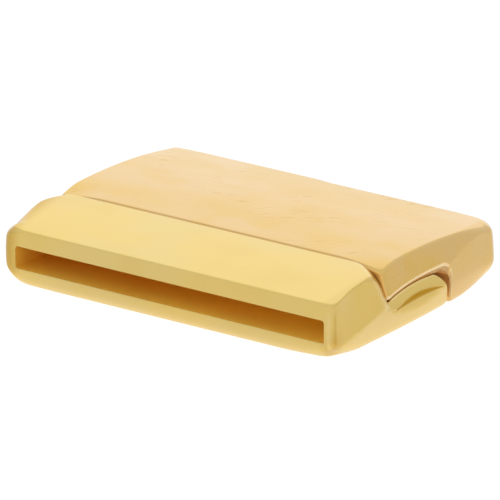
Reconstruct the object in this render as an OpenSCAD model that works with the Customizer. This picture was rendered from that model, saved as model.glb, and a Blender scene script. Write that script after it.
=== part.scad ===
// Flat strap clasp closed by magnets, in two cast halves that overlap and pull apart upwards.
// X runs along the strap slots, Y from the front face to the rear face, Z up.
// The origin is under the middle of the clasp, on the surface that it lies on.

/* [Strap slots] */
// Length of each slot, which is the width of the strap
slot_length = 40; // [36:1:46]
// Height of each slot, which is the thickness of the strap
slot_height = 2.5; // [1.5:0.1:3]
// Metal under each slot
slot_floor = 1.9; // [1.6:0.1:2.4]
// Metal over each slot at its mouth
slot_roof = 2; // [1.7:0.1:2.4]
// Metal between the end of each slot and the joint behind it
back_wall = 1.2; // [0.8:0.1:2]
// Metal past each end of the slots, on the widest line of the clasp
end_wall = 2.1; // [1.7:0.1:2.6]

/* [Halves] */
// Depth of the tongue half in front of the seam
front_depth = 10; // [9:0.5:13]
// How far the tongue reaches under the cover half
tongue_reach = 10.8; // [10.5:0.1:14]
// Depth of the cover half behind the tongue
rear_depth = 10.2; // [8.5:0.1:13]
// Height of the tongue's upper side where it is highest
tongue_height = 3.85; // [3.7:0.05:4]
// How much lower the tongue's upper side is at the seam and at its rear edge
tongue_drop = 0.6; // [0.4:0.1:0.8]
// Open gap between the halves across the seam
seam_gap = 0.15; // [0.1:0.05:0.3]
// Open gap between the tongue's upper side and the cover half
lid_gap = 0.15; // [0.1:0.05:0.3]
// Open gap behind the tongue
heel_gap = 0.8; // [0.5:0.1:1.2]

/* [Outer form] */
// How much higher the top is in the middle than along the front and rear faces
crown_rise = 1.3; // [1:0.1:1.6]
// Radius of the bow of each end, seen from above
bow_radius = 160; // [120:5:250]
// Distance from the front face to where the bow is widest
bow_place = 16; // [15:0.5:18]
// Height of the widest line of each end
waist_height = 2.6; // [2.2:0.1:3]
// Lean of the end facets above the widest line, in degrees
facet_lean = 9; // [6:1:14]
// Lean of the ends below the widest line, in degrees
under_lean = 5; // [3:1:12]
// Rounding of the lower edges of the ends
foot_round = 1.2; // [0.8:0.1:2]
// Rounding of the ends along their widest line
waist_round = 1; // [0.5:0.1:2]
// Rounding of the lower front and rear edges
sill_round = 0.5; // [0.3:0.1:1.2]
// Rounding of the two front corners, seen from above
front_corner_round = 0.8; // [0.5:0.1:1]
// Rounding of the two rear corners, seen from above
rear_corner_round = 2.4; // [0.5:0.1:2.4]
// Rounding of the upper corners of the front and rear faces
face_round = 1.8; // [1:0.1:2.4]
// How fast that rounding widens behind each face, in degrees
face_lean = 40; // [30:1:50]
// Rounding of the tongue's upper rear edge
tongue_round = 2.2; // [1:0.1:2.6]
// Rounding inside the pocket that takes the tongue
pocket_round = 0.8; // [0.4:0.1:1.2]
// Width of the bevel under the cover half's ends, over the tongue
lip_bevel = 0.9; // [0.5:0.1:1.2]
// Rise of that bevel from the seam to the rear, in degrees
lip_rise = 4; // [2:0.5:5]
// Rounding of the tongue half's upper corners at the seam
shoulder_round = 4.6; // [4:0.1:5]
// How far inside the widest line those rounded corners lie at the seam
shoulder_inset = 0.4; // [0.3:0.1:0.8]
// How fast that rounding widens away from the seam, in degrees
shoulder_lean = 25; // [20:1:35]
// Length of the cover half's top that is polished down towards each end at the seam
polish_length = 6; // [4:0.5:8]
// Lean of that polished top towards the ends, in degrees
polish_lean = 9; // [4:1:11]
// Lean of that polished top towards the seam, in degrees
polish_tilt = 8; // [6:1:11]

/* [Magnets] */
// Number of magnets in each half
magnet_count = 4; // [2:1:4]
// Diameter of each magnet
magnet_diameter = 6; // [5:0.5:6.5]
// Thickness of each magnet
magnet_thickness = 1.5; // [1:0.1:1.5]
// Distance between the middles of neighbouring magnets
magnet_pitch = 8.4; // [7.5:0.1:9]
// Open gap round each magnet in its bore, which glue fills
glue_gap = 0.1; // [0.05:0.05:0.2]
// Depth of the recess in the tongue
recess_depth = 0.8; // [0.6:0.1:1]
// Open gap between the key of the cover half and the recess, on every side
key_gap = 0.2; // [0.15:0.05:0.3]
// Metal round the magnets on the key
key_rim = 1.3; // [1:0.1:1.5]
// Rounding of the corners of the key, seen from above
key_round = 2; // [1:0.1:3]

/* [Hidden] */
$fn = 240;

clasp_depth = front_depth + tongue_reach + heel_gap + rear_depth;
clasp_length = slot_length + 2 * end_wall;
face_height = slot_floor + slot_height + slot_roof;
front_y = -clasp_depth / 2;
rear_y = clasp_depth / 2;
seam_y = front_y + front_depth;
heel_y = seam_y + tongue_reach;
tongue_mid_y = (seam_y + heel_y) / 2;
bow_y = front_y + bow_place;

// The top is one arc through the upper edges of the front and rear faces.
crown_radius = (pow(clasp_depth / 2, 2) + pow(crown_rise, 2)) / (2 * crown_rise);
crown_z = face_height + crown_rise - crown_radius;

// How far cutters run past the faces that they open
past = 1;
// How far one outline stands off another where their faces would touch
stand_off = 0.2;
block_top = face_height + crown_rise + past;

// The tongue's upper side is one arc, which drops towards the seam and the rear edge.
tongue_radius = (pow(tongue_reach / 2, 2) + pow(tongue_drop, 2)) / (2 * tongue_drop);

// The key of the cover half sits in the recess of the tongue and holds the upper magnets.
recess_z = tongue_height - recess_depth;
key_z = recess_z + key_gap;
key_depth = magnet_diameter + 2 * key_rim;
key_length = key_depth + magnet_pitch * (magnet_count - 1);

function unit(v) = v / norm(v);
function at(list, i) = list[(i + len(list)) % len(list)];
function place(corner) = [corner[0], corner[1]];
function back_way(list, i) = unit(place(at(list, i - 1)) - place(list[i]));
function on_way(list, i) = unit(place(at(list, i + 1)) - place(list[i]));
function half_angle(list, i) = acos(back_way(list, i) * on_way(list, i)) / 2;

// Half-length of the clasp on its widest line, at a place from front to rear
function half_length(y) = clasp_length / 2 - bow_radius + sqrt(pow(bow_radius, 2) - pow(y - bow_y, 2));

// Half-length of the clasp above its widest line, at a place and a height
function facet_x(y, z) = half_length(y) - (z - waist_height) * tan(facet_lean);

// Height of the clasp's top, and of the tongue's upper side, at a place from front to rear
function top_z(y) = crown_z + sqrt(pow(crown_radius, 2) - pow(y, 2));
function tongue_z(y) = tongue_height - tongue_radius + sqrt(pow(tongue_radius, 2) - pow(y - tongue_mid_y, 2));

function magnet_x(i) = (i - (magnet_count + 1) / 2) * magnet_pitch;

// A convex outline from [x, y, rounding] corners, with a true arc at each rounded corner
module rounded_outline(corners) {
    polygon([for (i = [0:len(corners) - 1])
        let (run = corners[i][2] / tan(half_angle(corners, i)))
        for (way = run > 0 ? [back_way(corners, i), on_way(corners, i)] : [[0, 0]])
        place(corners[i]) + run * way]);
    for (i = [0:len(corners) - 1])
        if (corners[i][2] > 0)
            translate(place(corners[i]) + unit(back_way(corners, i) + on_way(corners, i))
                * corners[i][2] / sin(half_angle(corners, i)))
                circle(corners[i][2]);
}

// A solid that runs along X, from an outline drawn with Y to the right and Z up
module along_x(from, to) {
    translate([from, 0, 0]) rotate([90, 0, 90]) linear_extrude(to - from) children();
}

// Side outline of the closed clasp
module side_outline() {
    intersection() {
        rounded_outline([
            [front_y, 0, sill_round],
            [rear_y, 0, sill_round],
            [rear_y, block_top, 0],
            [front_y, block_top, 0]]);
        translate([0, crown_z]) circle(crown_radius);
    }
}

// The right end of the clasp, turned about the far axis of its bow
module bowed_end() {
    turn = 40;
    translate([clasp_length / 2 - bow_radius, bow_y, 0])
        rotate_extrude(angle = turn, start = -turn / 2) rounded_outline([
            [0, -stand_off, 0],
            [bow_radius - (waist_height + stand_off) * tan(under_lean), -stand_off, foot_round],
            [bow_radius, waist_height, waist_round],
            [bow_radius - (block_top - waist_height) * tan(facet_lean), block_top, 0],
            [0, block_top, 0]]);
}

// Outline from above, which rounds the four corners and clears the bows of the ends
module corner_outline() {
    front_x = half_length(front_y) + stand_off;
    rear_x = half_length(rear_y) + stand_off;
    middle_x = clasp_length / 2 + past;
    y = clasp_depth / 2 + stand_off / 2;
    rounded_outline([
        [-front_x, -y, front_corner_round],
        [front_x, -y, front_corner_round],
        [middle_x, bow_y, 0],
        [rear_x, y, rear_corner_round],
        [-rear_x, y, rear_corner_round],
        [-middle_x, bow_y, 0]]);
}

// Draws its children at the right end and mirrored at the left end
module both_ends() {
    children();
    mirror([1, 0, 0]) children();
}

// The closed clasp as one block
module block() {
    intersection() {
        along_x(-clasp_length / 2 - past, clasp_length / 2 + past) side_outline();
        bowed_end();
        mirror([1, 0, 0]) bowed_end();
        translate([0, 0, -past]) linear_extrude(block_top + past) corner_outline();
    }
}

// Side outline of the tongue, or of the pocket for it where gaps are given
module tongue_outline(above, behind, round) {
    end_y = heel_y + behind;
    end_z = tongue_z(end_y - round) + above + stand_off / 2;
    intersection() {
        rounded_outline([
            [front_y - past, -past, 0],
            [end_y, -past, 0],
            [end_y, end_z, round],
            [heel_y - tongue_reach / 2, tongue_height + past, 0],
            [front_y - past, tongue_height + past, 0]]);
        translate([tongue_mid_y, tongue_height - tongue_radius]) circle(tongue_radius + above);
    }
}

// All that belongs to the tongue half, or that the cover half leaves free for it
module tongue_room(ahead, above, behind, round) {
    half = clasp_length / 2 + 2 * past;
    along_x(-half, half) tongue_outline(above, behind, round);
    translate([-half, front_y - past, -past])
        cube([2 * half, front_depth + past + ahead, block_top + 2 * past]);
}

// Room for the strap, open towards one face
module strap_slot(face_y, depth, way) {
    translate([0, face_y - way * past, slot_floor + slot_height / 2])
        translate([0, way * (depth + past) / 2, 0])
            cube([slot_length, depth + past, slot_height], center = true);
}

// Flat plate with rounded corners in the middle of the tongue
module key_plate(grow, from, to) {
    x = key_length / 2 + grow;
    y = key_depth / 2 + grow;
    r = key_round + grow;
    translate([0, tongue_mid_y, from]) linear_extrude(to - from)
        rounded_outline([[-x, -y, r], [x, -y, r], [x, y, r], [-x, y, r]]);
}

module magnet(i, low) {
    translate([magnet_x(i), tongue_mid_y, low]) cylinder(d = magnet_diameter, h = magnet_thickness);
}

// Blind bores for all the magnets of one half
module magnet_bores(low, high) {
    for (i = [1:magnet_count])
        translate([magnet_x(i), tongue_mid_y, low])
            cylinder(d = magnet_diameter + 2 * glue_gap, h = high - low);
}

// What the bevel takes off the lower edge of the cover half over the tongue
module lip_cut() {
    reach = 4 * lip_bevel;
    translate([clasp_length / 2 - lip_bevel, seam_y, tongue_height + lid_gap - tongue_drop])
        rotate([lip_rise, 0, 0]) rotate([0, -45, 0])
            translate([0, -past, -reach]) cube([reach, past + tongue_reach, reach]);
}

// What is rounded off an upper right corner, by a round that widens away from a face
module corner_cut(edge_x, edge_z, face_y, way, round, lean) {
    translate([edge_x - round, face_y, edge_z - round]) mirror([0, way < 0 ? 1 : 0, 0]) difference() {
        translate([0, -past, 0]) cube([2 * round, past + front_depth / 2, 2 * round]);
        translate([0, -past, 0]) rotate([-90, 0, 0])
            cylinder(r1 = round - past * tan(lean), r2 = round + front_depth * tan(lean), h = past + front_depth);
    }
}

module face_corner_cut(face_y, way) {
    corner_cut(facet_x(face_y, face_height - face_round) + stand_off / 2,
        face_height + stand_off / 4, face_y, way, face_round, face_lean);
}

module shoulder_cut() {
    corner_cut(half_length(seam_y) - shoulder_inset,
        top_z(seam_y) + stand_off / 2, seam_y, -1, shoulder_round, shoulder_lean);
}

// What is polished off the top of the cover half at the seam
module polish_cut() {
    translate([half_length(seam_y) - polish_length, seam_y, top_z(seam_y)])
        rotate([polish_tilt, polish_lean, 0])
            translate([-past, -past, 0]) cube([2 * polish_length, clasp_depth, polish_length]);
}

module tongue_half() {
    color("#e3cb80") difference() {
        intersection() {
            block();
            tongue_room(0, 0, 0, tongue_round);
        }
        both_ends() shoulder_cut();
        both_ends() face_corner_cut(front_y, 1);
        strap_slot(front_y, front_depth - back_wall, 1);
        key_plate(0, recess_z, tongue_height + past);
        magnet_bores(recess_z - magnet_thickness, tongue_height);
    }
}

module cover_half() {
    color("#e4c48c") difference() {
        union() {
            difference() {
                difference() {
                    block();
                    tongue_room(seam_gap, lid_gap, heel_gap, pocket_round);
                }
                both_ends() lip_cut();
                both_ends() polish_cut();
                both_ends() face_corner_cut(rear_y, -1);
            }
            key_plate(-key_gap, key_z, tongue_height + past);
        }
        strap_slot(rear_y, rear_depth - back_wall, -1);
        magnet_bores(key_z - past, key_z + magnet_thickness);
    }
}

module tongue_magnet(i) {
    color("#c9c9cc") magnet(i, recess_z - magnet_thickness);
}

module cover_magnet(i) {
    color("#c9c9cc") magnet(i, key_z);
}

tongue_half();
cover_half();
for (i = [1:magnet_count]) {
    tongue_magnet(i);
    cover_magnet(i);
}
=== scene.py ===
import bpy
import math
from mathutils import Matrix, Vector


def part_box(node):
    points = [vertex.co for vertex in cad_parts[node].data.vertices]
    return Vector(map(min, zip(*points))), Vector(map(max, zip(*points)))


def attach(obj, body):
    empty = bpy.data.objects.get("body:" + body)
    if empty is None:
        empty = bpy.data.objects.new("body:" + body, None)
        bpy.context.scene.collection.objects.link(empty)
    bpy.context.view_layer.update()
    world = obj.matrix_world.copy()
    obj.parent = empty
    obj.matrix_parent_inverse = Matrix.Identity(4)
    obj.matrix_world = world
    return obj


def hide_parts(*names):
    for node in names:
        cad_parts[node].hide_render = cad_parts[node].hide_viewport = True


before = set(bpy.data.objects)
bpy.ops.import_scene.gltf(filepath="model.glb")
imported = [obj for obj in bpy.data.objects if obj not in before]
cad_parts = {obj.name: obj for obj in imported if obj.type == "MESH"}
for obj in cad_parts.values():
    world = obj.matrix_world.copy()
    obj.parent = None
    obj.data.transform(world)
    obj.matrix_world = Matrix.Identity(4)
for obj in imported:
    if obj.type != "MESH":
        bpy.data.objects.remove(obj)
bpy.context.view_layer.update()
print("frame loaded")

# The halves are modelled in millimetres and brought to metres when they are finished.
millimetre = 0.001
tongueLow, tongueHigh = (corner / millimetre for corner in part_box("tongue_half"))
coverLow, coverHigh = (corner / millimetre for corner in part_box("cover_half"))
magnetLow, magnetHigh = (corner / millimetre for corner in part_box("tongue_magnet_1"))
keyMagnetLow, keyMagnetHigh = (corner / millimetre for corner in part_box("cover_magnet_1"))

# Places that both halves share, from the front face at y = frontY to the rear face at y = rearY
seamGap = 0.15
heelGap = 0.8
frontY, rearY = tongueLow.y, coverHigh.y
seamY = coverLow.y - seamGap
heelY = tongueHigh.y
pocketY = heelY + heelGap
topZ = coverHigh.z

form = {
    "halfLength": coverHigh.x + 0.12,  # on the widest line, before the ends lean in
    "bowRadius": 175,                  # of each end, seen from above
    "bowY": 0.1,
    "faceHeight": 6.4,                 # of the front and rear faces
    "waistAtFront": 1.2,               # height of the facets' lower edge at the front face
    "waistClimb": 0.27,                # for each millimetre behind it
    "waistUnder": 5,                   # degrees by which the ends draw in below it
    "waistUnderTop": 3.3,              # or below this height, where it lies higher
    "underSoftness": 0.3,              # of the bend there
    "leanSoftness": 0.15,              # of the bend at the foot of each leaning facet
    "fadeCurve": 1.5,                  # 1 is an even fade, more is quicker at first
    "tongueRoot": 3.6,                 # height of the tongue where it leaves the front half
    "tongueTop": 4.25,                 # and at its crest
    "tongueCrestY": frontY + 16.2,
    "lidGap": 0.12,                    # from the tongue's upper side to the pocket's ceiling
}

# Places this close count as the same one, and tiny is a step past a place where the mesh is cut
closeBy = 0.01
tiny = 0.001

facing = 0.7            # least part of a face's normal that points one way, for a face that looks that way
mergeDistance = 0.0005  # of points, in millimetres
smoothAngle = 28        # degrees between faces up to which they shade as one surface

# Distances from an edge at which the mesh is cut, so that the edge can be rounded finely
fineSteps = [0.05, 0.1, 0.16, 0.23, 0.3, 0.4, 0.52, 0.66, 0.82, 1, 1.2, 1.45, 1.7, 2, 2.35, 2.7, 3.1, 3.6,
             4.1, 4.7, 5.4, 6.2, 7.2, 8.4]


def selectOnly(piece):
    if bpy.context.mode != "OBJECT":
        bpy.ops.object.mode_set(mode="OBJECT")
    bpy.ops.object.select_all(action="DESELECT")
    piece.select_set(True)
    bpy.context.view_layer.objects.active = piece


# A plain block between its two corners
def addBlock(name, low, high):
    bpy.ops.object.select_all(action="DESELECT")
    centre = [(a + b) / 2 for a, b in zip(low, high)]
    bpy.ops.mesh.primitive_cube_add(size=1, location=centre)
    block = bpy.context.active_object
    block.name = name
    block.scale = [b - a for a, b in zip(low, high)]
    bpy.ops.object.transform_apply(location=True, rotation=False, scale=True)
    return block


# Selects the faces whose middle and normal pass a test, and leaves the piece in edit mode
def pickFaces(piece, test):
    selectOnly(piece)
    bpy.ops.object.mode_set(mode="EDIT")
    bpy.ops.mesh.select_mode(type="FACE")
    bpy.ops.mesh.select_all(action="DESELECT")
    bpy.ops.object.mode_set(mode="OBJECT")
    for face in piece.data.polygons:
        face.select = test(face.center, face.normal)
    bpy.ops.object.mode_set(mode="EDIT")


# Rounds the edges whose two ends pass a test
def roundEdges(piece, test, radius, segments):
    selectOnly(piece)
    bpy.ops.object.mode_set(mode="EDIT")
    bpy.ops.mesh.select_mode(type="EDGE")
    bpy.ops.mesh.select_all(action="DESELECT")
    bpy.ops.object.mode_set(mode="OBJECT")
    points = piece.data.vertices
    for edge in piece.data.edges:
        edge.select = test(*(points[i].co for i in edge.vertices))
    bpy.ops.object.mode_set(mode="EDIT")
    bpy.ops.mesh.bevel(offset=radius, segments=segments, profile=0.5, affect="EDGES")
    bpy.ops.object.mode_set(mode="OBJECT")


def near(a, b):
    return abs(a - b) < closeBy


def roundEdgeAlongX(piece, y, z, radius, segments):
    def isOnEdge(*ends):
        return all(near(end.y, y) and near(end.z, z) for end in ends)

    roundEdges(piece, isOnEdge, radius, segments)


# Cuts the mesh at each place along an axis, which is 0 to 2 for X to Z
def cutPiece(piece, axis, places):
    selectOnly(piece)
    bpy.ops.object.mode_set(mode="EDIT")
    normal = [0, 0, 0]
    normal[axis] = 1
    for place in sorted(set(round(p, 4) for p in places)):
        point = [0, 0, 0]
        point[axis] = place
        bpy.ops.mesh.select_all(action="SELECT")
        bpy.ops.mesh.bisect(plane_co=point, plane_no=normal, threshold=0.0001)
    bpy.ops.object.mode_set(mode="OBJECT")


# Cuts the mesh in rows. A fine row has the edge that it starts from, the way it goes and its reach. An even
# row has a start, a step, and its first and last count.
def cutInRows(piece, axis, fineRows, evenRows):
    places = [edge + way * step for edge, way, reach in fineRows for step in fineSteps if step < reach]
    for start, step, first, last in evenRows:
        places += [start + step * count for count in range(first, last + 1)]
    cutPiece(piece, axis, places)


# Two distances inside two faces that meet at an edge, moved so that the edge is round
def roundCorner(a, b, radius):
    depth = min(a, b)
    run = radius - depth
    along = b - a
    if run <= 0 or abs(along) >= run:
        return a, b
    turn = (along + run) / run * math.pi / 4
    return depth + run * (1 - math.sin(turn)), depth + run * (1 - math.cos(turn))


# Rounds the box near one of its corners: the upright edge seen from above, then the top and foot edges.
# The distances are inside the end, behind the face, under the top and over the foot. A radius for the top
# or the foot is a pair, along the end and along the face.
def roundBox(inside, behind, under, over, upright, top, foot):
    inside, behind = roundCorner(inside, behind, upright)
    depth = min(inside, behind)
    if inside < upright and behind < upright:
        depth = upright - math.hypot(upright - inside, upright - behind)
    reach = max(upright, top[0], top[1], foot[0], foot[1])
    toEnd, toFace = max(reach - inside, 0), max(reach - behind, 0)
    if toEnd == 0 and toFace == 0:
        return inside, behind, under, over
    length = math.hypot(toEnd, toFace)
    toEnd, toFace = toEnd / length, toFace / length
    height = under + over
    moved, under = roundCorner(depth, under, top[0] * toEnd ** 2 + top[1] * toFace ** 2)
    moved, over = roundCorner(moved, height - under, foot[0] * toEnd ** 2 + foot[1] * toFace ** 2)
    shift = moved - depth
    return inside + toEnd * shift, behind + toFace * shift, height - over, over


def softRamp(value, softness):
    return (value + math.sqrt(value * value + softness * softness)) / 2


def clamp(value):
    return min(max(value, 0), 1)


def smoothStep(value):
    value = clamp(value)
    return value * value * (3 - 2 * value)


# Height of the closed clasp's top, one arc from the front face over the middle to the rear face
def crownAt(y):
    rise = topZ - form["faceHeight"]
    radius = (rearY * rearY + rise * rise) / (2 * rise)
    return topZ - radius + math.sqrt(radius * radius - y * y)


# Height of the tongue's upper side, an arc that drops at the seam and at the rear edge
def tongueTopAt(y):
    share = (y - form["tongueCrestY"]) / (seamY - form["tongueCrestY"])
    return form["tongueTop"] - (form["tongueTop"] - form["tongueRoot"]) * share ** 2


# How far a facet that leans has come in at a height over its foot
def leanIn(height, degrees):
    return softRamp(height, form["leanSoftness"]) * math.tan(math.radians(degrees))


# Half-length of the clasp on its widest line
def bowAt(y):
    radius = form["bowRadius"]
    return form["halfLength"] - radius + math.sqrt(radius ** 2 - (y - form["bowY"]) ** 2)


def waistAt(y):
    return form["waistAtFront"] + form["waistClimb"] * (y - frontY)


# How far the ends draw in below their waist
def underIn(z, waist):
    below = min(waist, form["waistUnderTop"]) - z
    return softRamp(below, form["underSoftness"]) * math.tan(math.radians(form["waistUnder"]))


# A value at a face that fades to another one with the distance from the face
def fade(atFace, inside, distance, reach):
    return inside + (atFace - inside) * max(0, 1 - distance / reach) ** form["fadeCurve"]


# A point's place along X, where the end it faces has moved in and the middle stays put
def placeAlong(x, inside, end):
    return math.copysign((form["halfLength"] - inside) * end / form["halfLength"], x)


tongueSettings = {
    "sillRound": 0.9,               # foot of the front face
    "sillAtCorner": (1.2, 1.9),     # and its foot at the lower corners, left and right
    "sillReach": 7,
    "creaseRound": 0.3,             # top of the front face
    "seamRound": 0.12,
    "heelRound": 2.1,
    "upright": (1.3, 0.6),          # corners of the front face seen from above, left and right
    "uprightAtFoot": 1.8,
    "uprightReach": 2.2,            # height over which they change from that size
    "faceCorner": (3.4, 0.7),       # rounding of the upper corners at the front face
    "faceCornerReach": (6.5, 1.6),  # how far behind the face it fades out
    "endCrease": 0.25,              # between top and end facet
    "shoulderRound": (2, 3.2),      # upper corners at the seam, left and right
    "shoulderReach": 3.2,
    "footAtFace": 3,                # lower corners at the front face
    "foot": 0.8,
    "footReach": 5,
    "tongueEdge": 0.15,
    "archFoot": 1,                  # height from which the tongue is bent into its arch
    "leftLean": 0.35,               # the left end stands straighter, as a share of the right end's lean
    "leanAtFace": 1,
    "lean": 11,                     # of the facets, from leanReach behind the face on
    "leanReach": 5,
    "leanGain": 1.2,                # degrees more for each millimetre past that
    "pinch": 0.85,                  # how far the ends draw in at the seam, above the tongue
    "pinchStart": 3,
    "pinchRise": 0.7,
    "pinchCurve": 1.8,              # 1 is a flat, more is rounder
    "pinchTop": 7.2,                # where the pinch starts behind the front face, at the top
    "pinchFoot": 8.7,               # and low down
    "pinchFootHeight": 2,
    "pinchSpan": 5.3,               # from that height to the top
    "collarReach": 1.2,             # how far behind the seam the pinch runs out on the tongue
    "leftPinch": 0.4,               # the left end's share of the pinch
    "leftBulge": 0.42,              # how far the left end swells
    "leftBulgePlace": 0.45,         # where it swells most, as a share of the height
    "eyeFoot": 1.85,                # lower edge of the facet on the tongue's ends
    "eyeRise": 0.9,                 # how much higher it lies at the seam and at the heel
    "eyeLean": 9,
    "bevelFoot": 3.15,              # lower edge of the bevel above it
    "bevelRise": -0.4,
    "bevelLean": 33,
    "groove": 0.08,                 # depth of the crescent polished into the bevel's foot
    "crescentMiddle": 3.05,         # its height
    "crescentBow": 0.45,            # and how much lower its ends lie
    "crescentWidth": 0.3,
    "crescentSharpness": 4,
    "crescentShift": 0.05,          # towards the heel
    "crescentEnd": 0.7,             # how far it stops before the seam and the heel
    "endPaintedShade": 0.6,              # painted shade at the left end
    "endShadeReach": 2.4,
    "faceDepth": 0.5,               # how far behind the front face its own painted shade and highlights reach
    "cornerPaintedShade": 0.3,           # painted shade along the upright edge at the right of the front face
    "cornerPaintedHighlight": 0.4,              # and a painted highlight just beside it
    "cornerBandWidth": 0.35,            # width of each painted band
    "cornerTop": 0.6,               # how far below the face's top they end
    "cornerFoot": 0.8,              # and how far over its foot
    "edgePaintedHighlight": 0.4,                # painted highlight along the upper edge of the tongue's ends
    "edgeHighlightDepth": 0.2,
    "edgeHighlightStart": 0.9,           # how far behind the seam it starts
    "facetPaintedShade": 0.12,           # painted shade on the facets of the right end
    "facetReach": 2,                # how far in from the right end they are taken to lie
    "footPaintedHighlight": 0.5,                # painted highlight below them
    "footHighlightBlend": 0.3,
    "footHighlightStart": 4,             # how far behind the front face it comes in
    "footTarnish": 0.55,            # painted shade at the foot of the right corner
    "footTarnishReach": 2.4,
    "footTarnishTop": 4.5,
    "sillPaintedHighlight": 0.45,               # painted highlight at the foot of the front face
    "sillHighlightReach": 1.7,
    "sillHighlightStart": 4,             # how far from the right corner it comes in
}


# A place along the tongue's ends, -1 at the seam and 1 at the heel
def shareAlongTongue(y):
    return (2 * y - seamY - heelY) / (heelY - seamY)


def eyeFootAt(y):
    return tongueSettings["eyeFoot"] + tongueSettings["eyeRise"] * shareAlongTongue(y) ** 2


# The crescent that is polished into the foot of the bevel on the tongue's ends, 1 in its middle. It also
# places a painted dark reflection there.
def crescentAt(y, z):
    s = tongueSettings
    middle = (seamY + heelY) / 2 + s["crescentShift"]
    share = (y - middle) / ((heelY - seamY) / 2 - s["crescentEnd"])
    if abs(share) >= 1:
        return 0
    across = z - s["crescentMiddle"] + s["crescentBow"] * share ** 2
    across /= s["crescentWidth"] * (1 - share ** 2)
    return math.exp(-across ** s["crescentSharpness"])


# How far the ends draw in at the seam
def pinchAt(z):
    s = tongueSettings
    return s["pinch"] * (1 - math.exp(-max(0, z - s["pinchStart"]) / s["pinchRise"]))


# How far the tongue's ends lie in from the widest line
def tongueInset(y, z):
    s = tongueSettings
    bevel = s["bevelFoot"] + s["bevelRise"] * shareAlongTongue(y) ** 2
    inset = leanIn(z - eyeFootAt(y), s["eyeLean"]) + leanIn(z - bevel, s["bevelLean"])
    inset += s["groove"] * crescentAt(y, z)
    collar = pinchAt(z) + leanIn(z - waistAt(seamY), s["lean"])
    return collar + (inset - collar) * smoothStep((y - seamY) / s["collarReach"])


# Moves a point of the box form to its place on the front half
def shapeTonguePoint(point):
    s = tongueSettings
    root = form["tongueRoot"]
    x, y, z = point
    inside = form["halfLength"] - abs(x)
    back = y - frontY
    side = 0 if x < 0 else 1
    onTongue = y > seamY + tiny
    boxTop = root if onTongue else topZ
    crease = s["tongueEdge"]
    if not onTongue:
        crease = fade(s["faceCorner"][side], s["endCrease"], back, s["faceCornerReach"][side])
        crease = max(crease, fade(s["shoulderRound"][side], s["endCrease"], seamY - y, s["shoulderReach"]))
    foot = fade(s["footAtFace"], s["foot"], back, s["footReach"])
    sill = fade(s["sillAtCorner"][side], s["sillRound"], inside, s["sillReach"])
    upright = s["upright"][side]
    upright += (s["uprightAtFoot"] - upright) * smoothStep(1 - z / s["uprightReach"])
    inside, back, under, z = roundBox(inside, back, boxTop - z, z, upright,
                                      (crease, s["creaseRound"]), (foot, sill))
    y = frontY + back
    if onTongue:
        z += (tongueTopAt(y) - root) * smoothStep((z - s["archFoot"]) / (root - s["archFoot"]))
        return placeAlong(x, inside, bowAt(y) - tongueInset(y, z) - underIn(z, waistAt(y))), y, z
    z += (crownAt(y) - topZ) * clamp((z - root) / (topZ - root))
    climb = clamp((z - s["pinchFootHeight"]) / s["pinchSpan"])
    start = s["pinchFoot"] + (s["pinchTop"] - s["pinchFoot"]) * climb
    pinch = pinchAt(z) * max(0, (back - start) / (seamY - frontY - start)) ** s["pinchCurve"]
    lean = s["leanAtFace"] + (s["lean"] - s["leanAtFace"]) * smoothStep(back / s["leanReach"])
    lean += s["leanGain"] * max(0, back - s["leanReach"])
    swell = 0
    if x < 0:
        lean *= s["leftLean"]
        pinch *= s["leftPinch"]
        swell = s["leftBulge"] * (1 - (2 * (z / topZ - s["leftBulgePlace"])) ** 2)
    end = swell + bowAt(y) - leanIn(z - waistAt(y), lean) - underIn(z, waistAt(y)) - pinch
    return placeAlong(x, inside, end), y, z


def makeTongueHalf():
    s = tongueSettings
    half = form["halfLength"]
    root = form["tongueRoot"]
    piece = addBlock("tongueHalf", (-half, frontY, 0), (half, seamY, topZ))
    cutPiece(piece, 2, [root])
    pickFaces(piece, lambda middle, normal: normal.y > facing and middle.z < root)
    bpy.ops.mesh.extrude_region_move(TRANSFORM_OT_translate={"value": (0, heelY - seamY, 0)})
    roundEdgeAlongX(piece, seamY, topZ, s["seamRound"], segments=4)
    roundEdgeAlongX(piece, heelY, root, s["heelRound"], segments=10)
    roundEdgeAlongX(piece, heelY, 0, s["foot"], segments=3)
    cutInRows(piece, 0, [(half, -1, 9), (-half, 1, 9)], [(0, 2.5, -5, 5)])
    cutInRows(piece, 2, [(0, 1, 2.8), (topZ, -1, 3.9), (root, -1, 0.4)], [(root - 0.4, -0.07, 0, 11)])
    cutInRows(piece, 1, [(frontY, 1, 3), (seamY, -1, 4.5), (heelY, -1, 3), (seamY, 1, 2.5)],
              [(seamY, 0.6, 5, 14), (frontY, 0.5, 6, 13)])
    for point in piece.data.vertices:
        point.co = shapeTonguePoint(point.co)
    return piece
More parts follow.
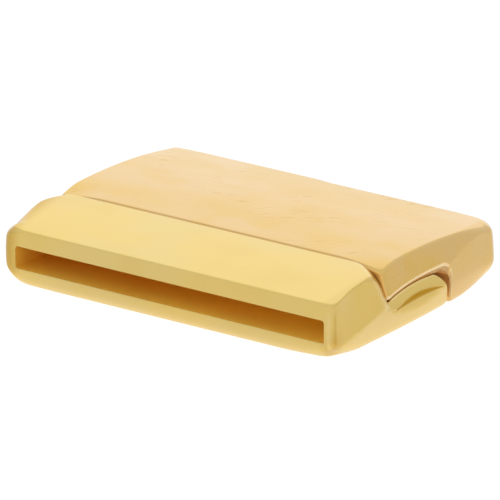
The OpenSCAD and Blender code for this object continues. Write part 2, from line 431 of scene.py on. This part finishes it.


# Painted shade on the front half, or a painted highlight where it is below 0
def tonguePaintedShadingAt(x, y, z):
    s, slot = tongueSettings, slotSettings
    if y > seamY + tiny:
        if abs(x) < slot["length"] / 2:
            return 0
        # Painted highlight along the tongue's upper edge
        if 0 < tongueTopAt(y) - z < s["edgeHighlightDepth"] and y > seamY + s["edgeHighlightStart"]:
            return -s["edgePaintedHighlight"]
        # Painted dark reflection in the crescent and painted shade on the facets, less a painted highlight
        # below the facet's foot
        belowEye = smoothStep((eyeFootAt(y) - z) / s["footHighlightBlend"])
        return max(crescentAt(y, z), s["facetPaintedShade"]) - s["footPaintedHighlight"] * belowEye
    # Painted shade inside the slot, darkest at its left end and none at its right
    low, high = slot["paintedShadeHeights"]
    if y > frontY + 2 * slot["mouth"] and abs(x) < slot["length"] / 2 + slot["past"] and low < z < high:
        return 0.5 - x / slot["length"]
    fromLeft, fromRight, back = bowAt(y) + x, bowAt(y) - x, y - frontY
    # Painted shade at the left end
    paintedShadeSum = s["endPaintedShade"] * smoothStep(1 - fromLeft / s["endShadeReach"])
    # Painted shade along the right upright edge of the front face, with a painted highlight band beside it
    if back < s["faceDepth"]:
        bandWidth = s["cornerBandWidth"]
        share = smoothStep(form["faceHeight"] - s["cornerTop"] - z) * smoothStep(z - s["cornerFoot"])
        paintedShadeSum += share * s["cornerPaintedShade"] * smoothStep(1 - fromRight / bandWidth)
        paintedShadeSum -= share * s["cornerPaintedHighlight"] * smoothStep(1 - abs(fromRight - 2 * bandWidth) / bandWidth)
    # Painted highlight on the sill of the front face
    onSill = smoothStep(1 - z / s["sillHighlightReach"]) * smoothStep(1 - back)
    paintedShadeSum -= s["sillPaintedHighlight"] * onSill * smoothStep(fromRight / s["sillHighlightStart"])
    # Painted shade at the foot of the right corner
    atCorner = smoothStep(1 - math.hypot(fromRight, back) / s["footTarnishReach"])
    paintedShadeSum += s["footTarnish"] * atCorner * smoothStep(1 - z / s["footTarnishTop"])
    # Painted shade on the right end's facets, less a painted highlight below them
    onFacet = smoothStep(back / s["faceDepth"]) * smoothStep(s["facetReach"] - fromRight)
    belowFacet = smoothStep((waistAt(y) - z) / s["footHighlightBlend"]) * smoothStep(back / s["footHighlightStart"])
    return paintedShadeSum + onFacet * (s["facetPaintedShade"] - s["footPaintedHighlight"] * belowFacet)


coverSettings = {
    "sillRound": (0.9, 1.3),    # foot of the rear face, left and right
    "creaseRound": (0.3, 0.7),  # top of the rear face
    "seamRound": 0.4,
    "ceiling": form["tongueRoot"] + form["lidGap"],
    "pocketRound": 0.9,
    "wallDepth": 0.1,           # how far past the pocket's wall its faces may lie
    "ceilingFacing": 0.6,       # least part of a normal that points down, for a face of the ceiling
    "lipEdge": 0.08,
    "endCrease": 0.3,
    "upright": (0.6, 1.9),      # corners of the rear face seen from above
    "frontUpright": 0.7,        # and of the front edge over the tongue
    "faceCorner": (0.7, 2.5),   # rounding of the upper corners at the rear face
    "faceCornerReach": 7,
    "footAtFace": 3.2,          # lower corners at the rear face
    "foot": 0.8,
    "footReach": 8,
    "archReach": 2,             # height over the ceiling up to which the lips follow the tongue's arch
    "leanAtSeam": 14,           # of the whole end
    "leanAtRear": 5,
    "leanFoot": 2.3,
    "waistAtSeam": 1.8,         # lower edge of the facet
    "waistClimb": 0.24,
    "facetAtSeam": 3.6,         # its lean, on top of the end's
    "facetAtRear": 19,
    "rearBulge": 0.2,           # how far the right end swells at the rear
    "rearBulgePlace": 0.55,     # where it swells most, as a share of the height
    "rearBulgeCurve": 3,        # 1 grows evenly from the seam, more keeps it near the rear
    "leftLean": 0.4,            # the left end stands straighter, as a share of the right end's lean
    "dip": 0.72,                # how far the top is polished down in its corners at the seam
    "crestDip": (0.06, 0.18),   # and along the rest of each end
    "dipReach": 5.6,
    "dipDepth": 3.2,
    "dipCurve": 1.5,
    "lipBand": 0.6,             # width of the bevel's outer flat round the pocket's mouth
    "lipBandDepth": 0.2,        # how far it goes in
    "lipBandCurve": 1.3,        # 1 is a flat, more is rounder
    "lipBandAtWall": 0.15,      # its width behind the tongue's heel
    "lipPaintedHighlight": 0.85,            # painted highlight on it
    "lipHighlightAtWall": 0.25,
    "lipHighlightShare": 0.8,        # and over which share of its width
    "lipAtSeam": 0.12,          # width of the inner flat, over the tongue
    "lipAtPocket": 0.75,
    "lipAtWall": 0.2,           # and behind the tongue's heel
    "lipCurve": 1.5,
    "lipSlope": 0.5,            # how far the inner flat goes in for its width
    "lipPaintedShade": 0.75,         # painted shade on the inner flat
    "seamPaintedShade": 0.4,         # painted shade along the top's edge at the seam
    "seamShadeReach": 0.3,
    "seamShadeClear": 1,      # how far from the ends it stops
    "seamShadeEnd": 2,        # and the length over which it fades there
}


# How far the bevel round the pocket's mouth takes the end face in, at a place of the box form, and the
# painted shade, or painted highlight where it is below 0, there
def lipAt(y, z):
    s = coverSettings
    radius = s["pocketRound"]
    past, above = y - (pocketY - radius), z - (s["ceiling"] - radius)
    toPocket = clamp((y - coverLow.y) / (pocketY - radius - coverLow.y))
    band, paintedHighlight = s["lipBand"], s["lipPaintedHighlight"]
    inner = s["lipAtSeam"] + (s["lipAtPocket"] - s["lipAtSeam"]) * toPocket ** s["lipCurve"]
    if past <= 0:
        away = z - s["ceiling"]
    elif above <= 0:
        away = y - pocketY
        inner = s["lipAtWall"]
        band, paintedHighlight = s["lipBandAtWall"], s["lipHighlightAtWall"]
    else:
        turned = math.atan2(past, above) * 2 / math.pi
        away = math.hypot(past, above) - radius
        inner += (s["lipAtWall"] - inner) * turned
        band += (s["lipBandAtWall"] - band) * turned
        paintedHighlight += (s["lipHighlightAtWall"] - paintedHighlight) * turned
    if away >= inner + band or away < -closeBy:
        return 0, 0
    # The outer flat of the bevel gets a painted highlight, the inner flat painted shade
    if away > inner:
        share = (away - inner) / band
        return s["lipBandDepth"] * (1 - share) ** s["lipBandCurve"], -paintedHighlight if share < s["lipHighlightShare"] else 0
    return s["lipBandDepth"] + s["lipSlope"] * (inner - max(away, 0)), s["lipPaintedShade"]


# Moves a point of the box form to its place on the rear half
def shapeCoverPoint(point):
    s = coverSettings
    x, y, z = point
    inside = form["halfLength"] - abs(x)
    far = inside
    behind = rearY - y
    side = 0 if x < 0 else 1
    overPocket = y < pocketY + tiny
    share = (y - coverLow.y) / (rearY - coverLow.y)
    lip = lipAt(y, z)[0]
    crease = fade(s["faceCorner"][side], s["endCrease"], behind, s["faceCornerReach"])
    foot = 0 if overPocket else fade(s["footAtFace"], s["foot"], behind, s["footReach"])
    inside, behind, under, z = roundBox(inside, behind, topZ - z, z, s["upright"][side],
                                        (crease, s["creaseRound"][side]), (foot, s["sillRound"][side]))
    y = rearY - behind
    if overPocket:
        inside, before = roundCorner(inside, y - coverLow.y, s["frontUpright"])
        y = coverLow.y + before
    rise = 0
    if overPocket:
        rise = tongueTopAt(min(y, heelY)) - form["tongueRoot"]
        rise *= clamp(1 - (z - s["ceiling"]) / s["archReach"])
        if z < s["ceiling"] - tiny:
            rise *= smoothStep(z / s["ceiling"])
    corner = max(0, 1 - far / s["dipReach"]) ** s["dipCurve"]
    fromSeam = max(0, 1 - (y - coverLow.y) / s["dipDepth"]) ** s["dipCurve"]
    crest = s["crestDip"][side]
    dip = corner * (crest + (s["dip"] - crest) * fromSeam)
    z += (crownAt(y) - topZ - dip) * clamp((z - s["ceiling"]) / (topZ - s["ceiling"])) + rise
    lean = s["leanAtSeam"] + (s["leanAtRear"] - s["leanAtSeam"]) * share
    facet = s["facetAtSeam"] + (s["facetAtRear"] - s["facetAtSeam"]) * share
    swell = s["rearBulge"] * share ** s["rearBulgeCurve"] * (1 - (2 * (z / topZ - s["rearBulgePlace"])) ** 2)
    if x < 0:
        lean *= s["leftLean"]
        facet *= s["leftLean"]
        swell = 0
    waist = s["waistAtSeam"] + s["waistClimb"] * (y - coverLow.y)
    end = swell + bowAt(y) - leanIn(z - s["leanFoot"], lean) - leanIn(z - waist, facet)
    end = end - underIn(z, s["leanFoot"]) - lip
    return placeAlong(x, inside, end), y, z


# Painted shade on the rear half at a place of the box form, or a painted highlight where it is below 0
def coverPaintedShadingAt(x, y, z):
    s = coverSettings
    # Painted shade along the top's edge at the seam, next to the gap
    reach = s["seamShadeReach"]
    if y - coverLow.y < reach and topZ - z < reach:
        fromEnd = form["halfLength"] - s["seamShadeClear"] - abs(x)
        return s["seamPaintedShade"] * smoothStep(fromEnd / s["seamShadeEnd"])
    return lipAt(y, z)[1] if abs(x) > slotSettings["length"] / 2 else 0


# A test for the faces that lie over the tongue and behind its heel
def isInPocket(middle, normal):
    s = coverSettings
    onWall = middle.y < pocketY + s["wallDepth"] and normal.y < -facing
    return onWall or (middle.y < pocketY and normal.z < -s["ceilingFacing"])


def makeCoverHalf():
    s = coverSettings
    half = form["halfLength"]
    ceiling = s["ceiling"]
    piece = addBlock("coverHalf", (-half, pocketY, 0), (half, rearY, topZ))
    cutPiece(piece, 2, [ceiling])
    pickFaces(piece, lambda middle, normal: normal.y < -facing and middle.z > ceiling)
    bpy.ops.mesh.extrude_region_move(TRANSFORM_OT_translate={"value": (0, coverLow.y - pocketY, 0)})
    roundEdgeAlongX(piece, coverLow.y, topZ, s["seamRound"], segments=4)
    roundEdgeAlongX(piece, coverLow.y, ceiling, s["lipEdge"], segments=2)
    roundEdgeAlongX(piece, pocketY, ceiling, s["pocketRound"], segments=8)
    roundEdgeAlongX(piece, pocketY, 0, s["foot"], segments=3)
    cutInRows(piece, 0, [(half, -1, 9), (-half, 1, 9)], [(0, 2.5, -5, 5)])
    cutInRows(piece, 2, [(0, 1, 3.3), (topZ, -1, 2)], [(ceiling, 0.035, 1, 39)])
    cutInRows(piece, 1, [(rearY, -1, 8), (coverLow.y, 1, 3), (pocketY, 1, 2.8)],
              [(pocketY, 0.05, -18, 13), (coverLow.y, 0.4, 7, 25)])
    paintedShading = piece.data.attributes.new("paintedShading", "FLOAT", "POINT")
    for point, value in zip(piece.data.vertices, paintedShading.data):
        value.value = coverPaintedShadingAt(*point.co)
        point.co = shapeCoverPoint(point.co)
    return piece


def applyBoolean(piece, other, operation):
    selectOnly(piece)
    modifier = piece.modifiers.new("cut", "BOOLEAN")
    modifier.operation = operation
    modifier.solver = "MANIFOLD"
    modifier.object = other
    bpy.ops.object.modifier_apply(modifier=modifier.name)
    bpy.data.objects.remove(other, do_unlink=True)


slotSettings = {
    "length": 40,
    "height": 2.5,
    "floor": 1.9,
    "backWall": 1.2,
    "cornerRound": 0.3,
    "mouth": 0.12,        # bevel round each slot's mouth
    "paintedShadeHeights": (1, 5),     # heights of the lining's painted shade, darkest at the left and none at the right
    "past": 0.1,          # and how far past the slot's ends
    "liningFacing": 0.5,  # least reach of a normal towards the slot's middle, for a face of the lining
}


# Cuts a strap slot into the face at faceY, going in along way
def cutSlot(piece, faceY, way, endY):
    s = slotSettings
    past = 1
    low, high = sorted((faceY - way * past, endY - way * s["backWall"]))
    half, floor = s["length"] / 2, s["floor"]
    cutter = addBlock("slotCutter", (-half, low, floor), (half, high, floor + s["height"]))
    roundEdges(cutter, lambda a, b: near(a.x, b.x) and near(a.z, b.z), s["cornerRound"], segments=3)
    cutPiece(cutter, 1, [faceY, faceY + way * s["mouth"]])
    for point in cutter.data.vertices:
        if (point.co.y - faceY) * way < tiny:
            point.co.x *= 1 + s["mouth"] / half
            point.co.z += s["mouth"] * (point.co.z - floor - s["height"] / 2) * 2 / s["height"]
    applyBoolean(piece, cutter, "DIFFERENCE")


# A test for the faces inside the slot that goes in from faceY
def isInSlot(faceY, way):
    s = slotSettings

    def test(middle, normal):
        deep = (middle.y - faceY) * way > s["mouth"] + closeBy
        high = s["floor"] - closeBy < middle.z < s["floor"] + s["height"] + closeBy
        return deep and high and abs(middle.x) < s["length"] / 2 + closeBy and facesSlot(middle, normal)

    def facesSlot(middle, normal):
        away = Vector((-middle.x, 0, s["floor"] + s["height"] / 2 - middle.z))
        return normal.dot(away) > s["liningFacing"] or normal.y * way < -s["liningFacing"]

    return test


keySettings = {
    "rim": 1.3,      # metal round the magnets
    "gap": 0.2,      # open gap round the key in the recess
    "round": 2,      # corners, seen from above
    "root": 0.6,     # how far the key reaches up past the tongue's crest, into the cover half
    "glueGap": 0.1,  # round each magnet
    "past": 1,       # how far the drill starts outside the key
}


# A plate round the row of magnets, wider all round by grow
def addKeyPlate(name, grow, low, high):
    s = keySettings
    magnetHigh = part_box("tongue_magnet_4")[1] / millimetre
    x = magnetHigh.x + s["rim"] + grow
    reach = (magnetHigh.y - magnetLow.y) / 2 + s["rim"] + grow
    y = (magnetHigh.y + magnetLow.y) / 2
    plate = addBlock(name, (-x, y - reach, low), (x, y + reach, high))
    roundEdges(plate, lambda a, b: near(a.x, b.x) and near(a.y, b.y), s["round"] + grow, segments=6)
    return plate


# Drills a blind seat for each magnet of a row
def drillMagnetSeats(piece, nodes, low, high):
    s = keySettings
    for node in nodes:
        corner, far = (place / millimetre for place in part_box(node))
        bpy.ops.object.select_all(action="DESELECT")
        place = ((corner.x + far.x) / 2, (corner.y + far.y) / 2, (low + high) / 2)
        bpy.ops.mesh.primitive_cylinder_add(vertices=64, radius=(far.x - corner.x) / 2 + s["glueGap"],
                                            depth=high - low, location=place)
        drill = bpy.context.active_object
        bpy.ops.object.transform_apply(location=True, rotation=False, scale=False)
        applyBoolean(piece, drill, "DIFFERENCE")


# Gives each group of faces its own metal, from pairs of a metal and the test for its faces, and brings the
# piece to metres, onto its body and in its node's place
def finishPiece(piece, body, node, metals):
    selectOnly(piece)
    bpy.ops.object.mode_set(mode="EDIT")
    bpy.ops.mesh.select_all(action="SELECT")
    bpy.ops.mesh.remove_doubles(threshold=mergeDistance)
    bpy.ops.mesh.normals_make_consistent(inside=False)
    bpy.ops.object.mode_set(mode="OBJECT")
    piece.data.materials.clear()
    for place, (metal, test) in enumerate(metals):
        piece.data.materials.append(metal)
        pickFaces(piece, test)
        piece.active_material_index = place
        bpy.ops.object.material_slot_assign()
    bpy.ops.mesh.select_all(action="SELECT")
    bpy.ops.transform.resize(value=(millimetre,) * 3, center_override=(0, 0, 0))
    bpy.ops.object.mode_set(mode="OBJECT")
    bpy.ops.object.shade_smooth_by_angle(angle=math.radians(smoothAngle))
    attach(piece, body)
    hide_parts(node)


# Stores each point's painted shade, or painted highlight where it is below 0, for the metal's colour
def markPaintedShading(piece, paintedShadingAt):
    paintedShading = piece.data.attributes.new("paintedShading", "FLOAT", "POINT")
    for point, value in zip(piece.data.vertices, paintedShading.data):
        value.value = paintedShadingAt(*(point.co / millimetre))


# A noise on the piece's own coordinates, stretched along X by stretch, with its stops from low to high
def addNoise(tree, scale, stretch, detail, low, high, shift=0, turn=0):
    place = tree.nodes.new("ShaderNodeTexCoord")
    mapping = tree.nodes.new("ShaderNodeMapping")
    mapping.inputs["Location"].default_value = (shift, shift, 0)
    mapping.inputs["Scale"].default_value = (1 / stretch, 1, 1)
    turned = tree.nodes.new("ShaderNodeMapping")
    turned.inputs["Rotation"].default_value = (0, 0, math.radians(turn))
    noise = tree.nodes.new("ShaderNodeTexNoise")
    noise.inputs["Scale"].default_value = scale
    noise.inputs["Detail"].default_value = detail
    stops = tree.nodes.new("ShaderNodeMapRange")
    stops.interpolation_type = "SMOOTHSTEP"
    stops.inputs["From Min"].default_value = low
    stops.inputs["From Max"].default_value = high
    tree.links.new(place.outputs["Object"], turned.inputs["Vector"])
    tree.links.new(turned.outputs["Vector"], mapping.inputs["Vector"])
    tree.links.new(mapping.outputs["Vector"], noise.inputs["Vector"])
    tree.links.new(noise.outputs["Fac"], stops.inputs["Value"])
    return stops.outputs["Result"]


def addMath(tree, operation, *values):
    node = tree.nodes.new("ShaderNodeMath")
    node.operation = operation
    for socket, value in zip(node.inputs, values):
        if isinstance(value, (int, float)):
            socket.default_value = value
        else:
            tree.links.new(value, socket)
    return node.outputs["Value"]


def mixColours(tree, share, first, second):
    mix = tree.nodes.new("ShaderNodeMix")
    mix.data_type = "RGBA"
    tree.links.new(share, mix.inputs["Factor"])
    for socket, value in zip((mix.inputs[6], mix.inputs[7]), (first, second)):
        if isinstance(value, tuple):
            socket.default_value = (*value, 1)
        else:
            tree.links.new(value, socket)
    return mix.outputs[2]


# The noises that all the metals share: stretch along X, detail, low stop, high stop and shift
skinNoises = {
    "clouds": (1.6, 2, 0.36, 0.64, 0),
    "stains": (1.3, 1, 0.5, 0.72, 0.3),
    "patches": (1.2, 1, 0.45, 0.62, 0.7),
    "grain": (3, 2, 0.2, 0.8, 0),
}
stainFineness = 1.7  # of the stains, against the clouds


# Polished metal with soft clouds and stains in its colour, fine marks in rubbed patches, and a wavy skin
def makeMetal(name, s):
    material = bpy.data.materials.new(name)
    material.use_nodes = True
    tree = material.node_tree
    shader = tree.nodes["Principled BSDF"]
    shader.inputs["Metallic"].default_value = s["metallic"]
    clouds = addNoise(tree, s["cloudScale"], *skinNoises["clouds"])
    stains = addNoise(tree, s["cloudScale"] * stainFineness, *skinNoises["stains"])
    colour = mixColours(tree, clouds, s["colour"], s["cloudColour"])
    colour = mixColours(tree, addMath(tree, "MULTIPLY", stains, s["stainShare"]), colour, s["stainColour"])
    # Painted shade and painted highlights from the point attribute, for metals that have colours for them
    if "paintedShadeColour" in s:
        paintedShading = tree.nodes.new("ShaderNodeAttribute")
        paintedShading.attribute_name = "paintedShading"
        colour = mixColours(tree, paintedShading.outputs["Fac"], colour, s["paintedShadeColour"])
        paintedHighlight = addMath(tree, "MULTIPLY", paintedShading.outputs["Fac"], -1)
        colour = mixColours(tree, paintedHighlight, colour, s["paintedHighlightColour"])
    tree.links.new(colour, shader.inputs["Base Color"])
    patches = addNoise(tree, s["patchScale"], *skinNoises["patches"])
    marks = addNoise(tree, s["markScale"], s["markLength"], 1, *s["markStops"], turn=s["markTurn"])
    marks = addMath(tree, "MULTIPLY", marks, patches)
    grain = addNoise(tree, s["grainScale"], *skinNoises["grain"])
    rough = addMath(tree, "MULTIPLY_ADD", clouds, s["roughSpread"], s["roughness"])
    rubbed = addMath(tree, "MULTIPLY", marks, s["markRough"])
    tree.links.new(addMath(tree, "ADD", rough, rubbed), shader.inputs["Roughness"])
    height = addMath(tree, "SUBTRACT", addMath(tree, "MULTIPLY", grain, s["grainShare"]), marks)
    bump = tree.nodes.new("ShaderNodeBump")
    bump.inputs["Strength"].default_value = s["bump"]
    bump.inputs["Distance"].default_value = s["markDepth"]
    tree.links.new(height, bump.inputs["Height"])
    tree.links.new(bump.outputs["Normal"], shader.inputs["Normal"])
    return material


lemonGold = {
    "metallic": 1,
    "colour": (0.665, 0.49, 0.175),
    "cloudColour": (0.69, 0.49, 0.15),
    "stainColour": (0.66, 0.46, 0.13),
    "paintedHighlightColour": (0.74, 0.56, 0.29),
    "stainShare": 0.4,
    "cloudScale": 110,
    "patchScale": 200,
    "markScale": 2600,
    "markLength": 9,
    "markTurn": -25,
    "markStops": (0.64, 0.76),
    "markRough": 0.1,
    "markDepth": 0.00001,
    "grainScale": 1500,
    "grainShare": 0.25,
    "roughness": 0.13,
    "roughSpread": 0.05,
    "bump": 0.25,
}
roseGold = {
    "metallic": 1,
    "colour": (0.66, 0.44, 0.175),
    "cloudColour": (0.66, 0.43, 0.125),
    "stainColour": (0.65, 0.41, 0.1),
    "paintedHighlightColour": (0.84, 0.64, 0.38),
    "stainShare": 0.65,
    "cloudScale": 120,
    "patchScale": 150,
    "markScale": 2200,
    "markLength": 5,
    "markTurn": -34,
    "markStops": (0.6, 0.76),
    "markRough": 0.2,
    "markDepth": 0.00002,
    "grainScale": 1100,
    "grainShare": 0.7,
    "roughness": 0.19,
    "roughSpread": 0.07,
    "bump": 0.35,
}
# A brighter, partly diffuse copy of the gold for the slots' lining: painted bounce light inside the slots;
# its shade colour is the painted shade at the slot's left end
slotLitAmber = {
    **lemonGold,
    "metallic": 0.6,
    "colour": (0.98, 0.74, 0.13),
    "cloudColour": (0.98, 0.7, 0.11),
    "stainColour": (0.94, 0.6, 0.07),
    "paintedShadeColour": (0.88, 0.46, 0.04),
    "roughness": 0.5,
}
satinGold = {
    **roseGold,
    "metallic": 0.75,
    "colour": (0.82, 0.52, 0.17),
    "cloudColour": (0.8, 0.48, 0.14),
    "stainColour": (0.74, 0.4, 0.1),
    "roughness": 0.4,
}
brightNickel = {
    **lemonGold,
    "colour": (0.72, 0.7, 0.67),
    "cloudColour": (0.66, 0.64, 0.6),
    "stainColour": (0.55, 0.52, 0.48),
    "cloudScale": 260,
    "markScale": 3500,
    "markLength": 4,
    "roughness": 0.18,
}
# Each half's colour for its painted shade; the painted highlight colour comes from its gold
tongueGold = makeMetal("tongueGold", {**lemonGold, "paintedShadeColour": (0.42, 0.21, 0.005)})
coverGold = makeMetal("coverGold", {**roseGold, "paintedShadeColour": (0.5, 0.29, 0.13)})
slotLining = makeMetal("slotLining", slotLitAmber)
innerSatin = makeMetal("innerSatin", satinGold)
nickel = makeMetal("magnetNickel", brightNickel)
print("metals mixed")

tongueHalf = makeTongueHalf()
cutSlot(tongueHalf, frontY, 1, seamY)
applyBoolean(tongueHalf, addKeyPlate("recessCutter", 0, magnetHigh.z, topZ), "DIFFERENCE")
tongueMagnets = sorted(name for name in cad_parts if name.startswith("tongue_magnet"))
drillMagnetSeats(tongueHalf, tongueMagnets, magnetLow.z, topZ)
finishPiece(tongueHalf, "tongue_side", "tongue_half", [
    (tongueGold, lambda middle, normal: True),
    (innerSatin, lambda middle, normal: middle.y > seamY - tiny and normal.y > facing),
    (slotLining, isInSlot(frontY, 1)),
])
markPaintedShading(tongueHalf, tonguePaintedShadingAt)
print("tongue half made", len(tongueHalf.data.polygons))

coverHalf = makeCoverHalf()
cutSlot(coverHalf, rearY, -1, pocketY)
keyTop = form["tongueTop"] + keySettings["root"]
applyBoolean(coverHalf, addKeyPlate("key", -keySettings["gap"], keyMagnetLow.z, keyTop), "UNION")
coverMagnets = sorted(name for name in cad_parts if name.startswith("cover_magnet"))
drillMagnetSeats(coverHalf, coverMagnets, keyMagnetLow.z - keySettings["past"], keyMagnetHigh.z)
finishPiece(coverHalf, "cover_side", "cover_half", [
    (coverGold, lambda middle, normal: True),
    (innerSatin, isInPocket),
    (slotLining, isInSlot(rearY, -1)),
])
print("cover half made", len(coverHalf.data.polygons))

# The magnets stay as the frame has them and only get their plating
for name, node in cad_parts.items():
    if "magnet" in name:
        node.data.materials.clear()
        node.data.materials.append(nickel)
print("magnets plated")

studio = {
    "floorSize": 1.2,
    "floorDrop": 0.00002,  # how far the floor lies below the clasp
    "floorColour": (0.35, 0.35, 0.345),
    "floorRoughness": 0.8,
    "floorGlow": 0.63,     # the floor is a lit table, so there is little shadow on it
    "nearGlow": 0.3,       # added close round the clasp
    "nearReach": 0.003,
    "horizonLight": (0.93, 0.93, 0.93),
    "skyLight": (0.98, 1.03, 1.1),
    "skyStart": 0.5,       # how high the sky's own light starts
    "boxSize": 1,          # the soft box behind on the left, which the top shines with
    "boxDistance": 0.9,
    "boxAzimuth": 215,
    "boxElevation": 30,
    "boxPower": 1.04,
}


# Puts a lamp or the camera at a distance from its target, and turns it to look there
def aimAt(thing, target, azimuth, elevation, distance):
    turn, lift = math.radians(azimuth), math.radians(elevation)
    away = Vector((math.sin(turn) * math.cos(lift), -math.cos(turn) * math.cos(lift), math.sin(lift)))
    thing.location = Vector(target) + away * distance
    thing.rotation_mode = "QUATERNION"
    thing.rotation_quaternion = (-away).to_track_quat("-Z", "Y")


def addSoftBox():
    s = studio
    lamp = bpy.data.objects.new("softBox", bpy.data.lights.new("softBox", "AREA"))
    bpy.context.scene.collection.objects.link(lamp)
    aimAt(lamp, (0, 0, 0), s["boxAzimuth"], s["boxElevation"], s["boxDistance"])
    lamp.data.shape = "SQUARE"
    lamp.data.size = s["boxSize"]
    lamp.data.energy = s["boxPower"]
    lamp.visible_camera = False


# The table's glow, strongest close round the clasp
def addTableGlow(tree):
    s = studio
    place = tree.nodes.new("ShaderNodeTexCoord")
    ends = tree.nodes.new("ShaderNodeVectorMath")
    ends.operation = "ABSOLUTE"
    past = tree.nodes.new("ShaderNodeVectorMath")
    past.operation = "SUBTRACT"
    past.inputs[1].default_value = (form["halfLength"] * millimetre, rearY * millimetre, 0)
    clear = tree.nodes.new("ShaderNodeVectorMath")
    clear.operation = "MAXIMUM"
    reach = tree.nodes.new("ShaderNodeVectorMath")
    reach.operation = "LENGTH"
    tree.links.new(place.outputs["Object"], ends.inputs[0])
    tree.links.new(ends.outputs["Vector"], past.inputs[0])
    tree.links.new(past.outputs["Vector"], clear.inputs[0])
    tree.links.new(clear.outputs["Vector"], reach.inputs[0])
    falloff = addMath(tree, "MULTIPLY", reach.outputs["Value"], -1 / s["nearReach"])
    falloff = addMath(tree, "EXPONENT", falloff)
    return addMath(tree, "MULTIPLY_ADD", falloff, s["nearGlow"], s["floorGlow"])


def makeStudio():
    s = studio
    bpy.ops.object.select_all(action="DESELECT")
    bpy.ops.mesh.primitive_plane_add(size=s["floorSize"], location=(0, 0, -s["floorDrop"]))
    floor = bpy.context.active_object
    floor.name = "floor"
    material = bpy.data.materials.new("floorPaper")
    material.use_nodes = True
    shader = material.node_tree.nodes["Principled BSDF"]
    shader.inputs["Base Color"].default_value = (*s["floorColour"], 1)
    shader.inputs["Roughness"].default_value = s["floorRoughness"]
    shader.inputs["Emission Color"].default_value = (1, 1, 1, 1)
    material.node_tree.links.new(addTableGlow(material.node_tree), shader.inputs["Emission Strength"])
    floor.data.materials.append(material)
    world = bpy.data.worlds.new("studioRoom")
    bpy.context.scene.world = world
    world.use_nodes = True
    nodes, links = world.node_tree.nodes, world.node_tree.links
    place = nodes.new("ShaderNodeTexCoord")
    split = nodes.new("ShaderNodeSeparateXYZ")
    ramp = nodes.new("ShaderNodeValToRGB")
    ramp.color_ramp.elements[0].color = (*s["horizonLight"], 1)
    ramp.color_ramp.elements[1].color = (*s["skyLight"], 1)
    ramp.color_ramp.elements[1].position = s["skyStart"]
    links.new(place.outputs["Generated"], split.inputs["Vector"])
    links.new(split.outputs["Z"], ramp.inputs["Fac"])
    links.new(ramp.outputs["Color"], nodes["Background"].inputs["Color"])
    addSoftBox()
    bpy.context.scene.view_settings.view_transform = "Standard"


makeStudio()
print("studio lit")

cameraSettings = {
    "azimuth": 34.69,
    "elevation": 20.28,
    "distance": 0.7364,
    "lens": 506.3,
    "sensor": 36,
    "near": 0.01,
    "far": 10,
    "target": (0.01075, frontY * millimetre, 0.01047),
}


def makeCamera():
    s = cameraSettings
    camera = bpy.data.objects.new("camera", bpy.data.cameras.new("camera"))
    bpy.context.scene.collection.objects.link(camera)
    aimAt(camera, s["target"], s["azimuth"], s["elevation"], s["distance"])
    camera.data.lens = s["lens"]
    camera.data.sensor_width = s["sensor"]
    camera.data.clip_start = s["near"]
    camera.data.clip_end = s["far"]
    bpy.context.scene.camera = camera


makeCamera()
print("camera placed")
